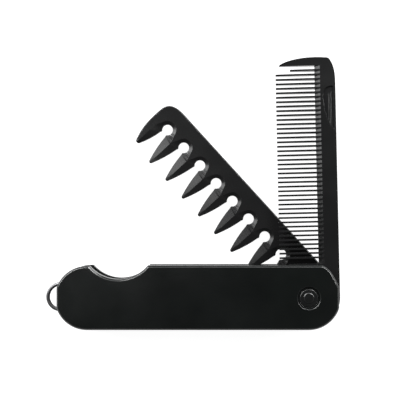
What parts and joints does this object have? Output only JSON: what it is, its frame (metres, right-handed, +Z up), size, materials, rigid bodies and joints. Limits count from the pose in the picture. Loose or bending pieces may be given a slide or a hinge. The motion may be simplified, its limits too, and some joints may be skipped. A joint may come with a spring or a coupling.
{
  "type": "folding comb",
  "caption": "Folding pocket comb: a fine comb and a coarse faceted comb turn on one rivet in a slotted black handle with a wire loop at its tail.",
  "frame": {"origin": "middle of the back scale's flat outer face, half way along and across the handle", "axes": "+X along the handle towards the pivot, +Y across the handle towards its open slot and thumb scoop, +Z up out of the front scale"},
  "size_m": [0.1414, 0.1303, 0.014],
  "materials": {
    "handle_plastic": "satin black moulded plastic",
    "comb_plastic": "smooth satin black moulded plastic",
    "rivet_metal": "black coated steel",
    "ring_steel": "dull dark steel wire"
  },
  "bodies": {
    "handle": {"back_scale": "handle_plastic", "front_scale": "handle_plastic", "pivot_rivet": "rivet_metal", "tail_ring": "ring_steel"},
    "wide_comb": {"wide_comb": "comb_plastic"},
    "fine_comb": {"fine_comb": "comb_plastic"}
  },
  "joints": [
    {"name": "wide_pivot", "type": "hinge", "parent": "handle", "child": "wide_comb", "pos_m": [0.0526, 0, 0.0051], "axis": [0, 0, 1], "range_deg": [-132.35, 47.65]},
    {"name": "fine_pivot", "type": "hinge", "parent": "handle", "child": "fine_comb", "pos_m": [0.0526, 0, 0.0088], "axis": [0, 0, 1], "range_deg": [-91.3, 88.7]}
  ]
}
